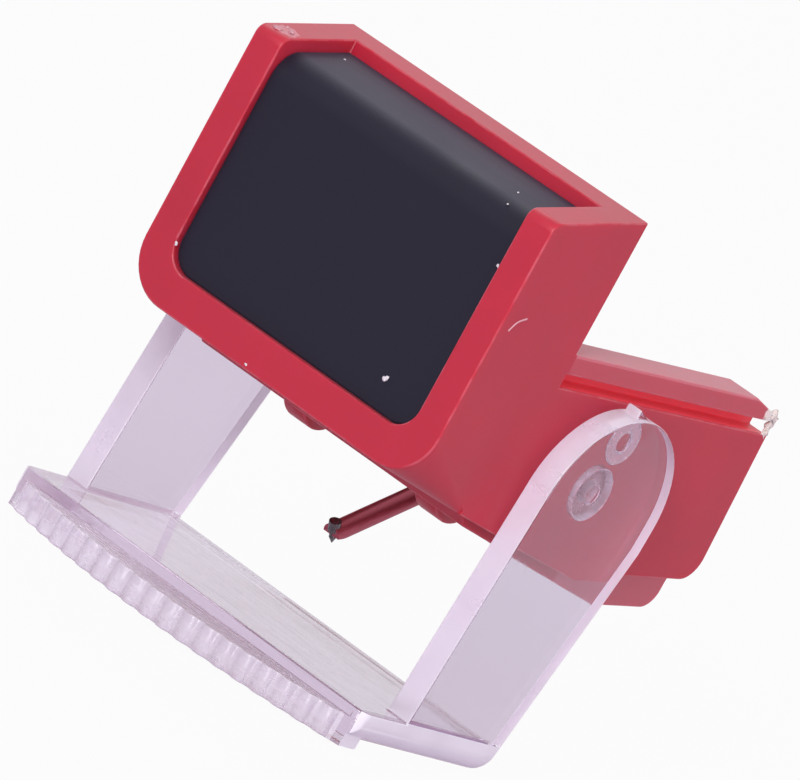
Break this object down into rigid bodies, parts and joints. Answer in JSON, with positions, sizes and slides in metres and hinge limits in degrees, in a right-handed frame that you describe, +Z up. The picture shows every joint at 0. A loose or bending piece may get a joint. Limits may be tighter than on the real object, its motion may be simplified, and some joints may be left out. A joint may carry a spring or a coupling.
{
  "type": "turntable stylus unit",
  "caption": "Plug-in record stylus unit: red moulded grip with black inlay, cheeks with guide rails, clear swinging guard and a sprung cantilever with its tip.",
  "frame": {"origin": "middle of the hood's flat rear face, level with the tops of the cheek rails", "axes": "+Y out of the rear face towards the pick-up body, +Z up, +X to the right seen from the front"},
  "size_m": [0.0172, 0.0192, 0.0206],
  "materials": {
    "red_plastic": "moulded, satin gloss",
    "black_plastic": "moulded, satin",
    "clear_plastic": "clear moulded, polished",
    "drawn_aluminium": "drawn tube",
    "diamond": "ground",
    "sleeve_brass": "turned",
    "damper_rubber": "moulded",
    "magnet_alloy": "ground",
    "spring_steel": "drawn wire"
  },
  "bodies": {
    "grip": {"stylus_body": "red_plastic", "front_inlay": "black_plastic", "suspension_sleeve": "sleeve_brass", "sleeve_plug": "sleeve_brass", "tie_wire": "spring_steel"},
    "guard": {"stylus_guard": "clear_plastic"},
    "bearing": {"damper_ring": "damper_rubber"},
    "stylus": {"cantilever_tube": "drawn_aluminium", "stylus_tip": "diamond", "armature_magnet": "magnet_alloy"}
  },
  "joints": [
    {"name": "guard_swing", "type": "hinge", "parent": "grip", "child": "guard", "pos_m": [0, 0.00375, -0.00448], "axis": [-1, 0, 0], "range_deg": [0, 87]},
    {"name": "stylus_lift", "type": "hinge", "parent": "grip", "child": "bearing", "pos_m": [0, 0.01, -0.00709], "axis": [-1, 0, 0], "range_deg": [-2.5, 2.5], "stiffness_Nm_per_rad": 0.0024},
    {"name": "stylus_sway", "type": "hinge", "parent": "bearing", "child": "stylus", "pos_m": [0, 0.01, -0.00709], "axis": [0, -0.4833, 0.8755], "range_deg": [-2.5, 2.5], "stiffness_Nm_per_rad": 0.0024}
  ]
}
